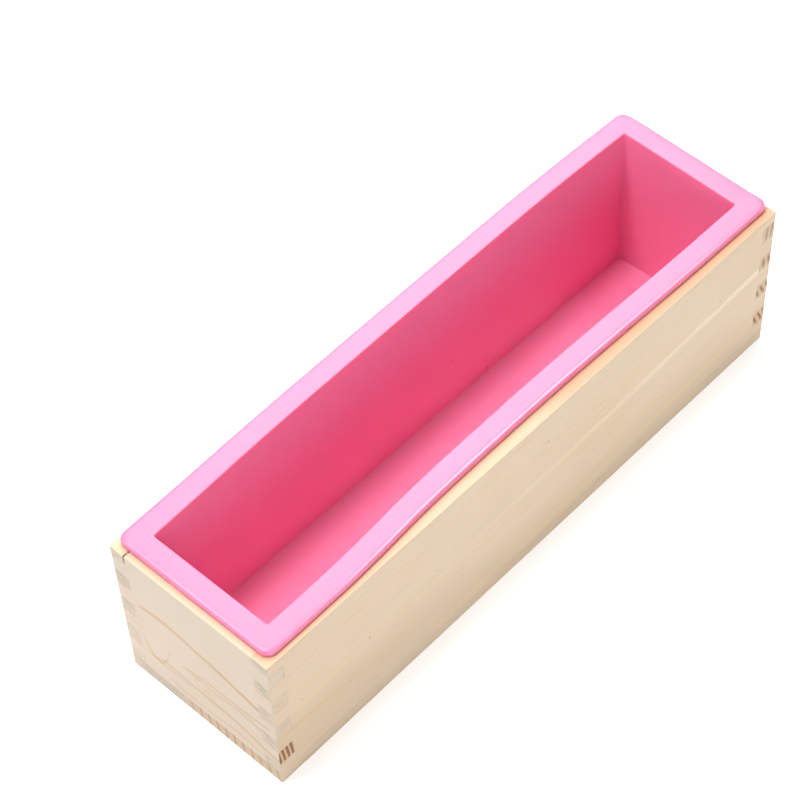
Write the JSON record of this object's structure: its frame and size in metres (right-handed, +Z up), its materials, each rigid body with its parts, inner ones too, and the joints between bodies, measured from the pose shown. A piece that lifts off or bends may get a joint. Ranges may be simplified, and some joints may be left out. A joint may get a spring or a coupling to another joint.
{
  "type": "soap loaf mould",
  "caption": "Long pine box with finger-jointed corners that holds a flanged pink silicone liner for casting soap loaves.",
  "frame": {"origin": "middle of the box's flat underside", "axes": "+X along the length of the mould, +Y from the front long board to the back long board, +Z up out of the cavity"},
  "size_m": [0.28, 0.0772, 0.0783],
  "materials": {
    "pine": "bare pale pine, sanded smooth, with open end grain at the corner fingers",
    "pink_silicone": "soft translucent pink silicone rubber, satin on the flange and slightly glossy in the cavity"
  },
  "bodies": {
    "wooden_box": {"bottom_board": "pine", "front_long_board": "pine", "back_long_board": "pine", "left_end_board": "pine", "right_end_board": "pine"},
    "liner": {"silicone_liner": "pink_silicone"}
  },
  "joints": [
    {"name": "liner_lift", "type": "slide", "parent": "wooden_box", "child": "liner", "axis": [0, 0, 1], "range_m": [0, 0.09]}
  ]
}
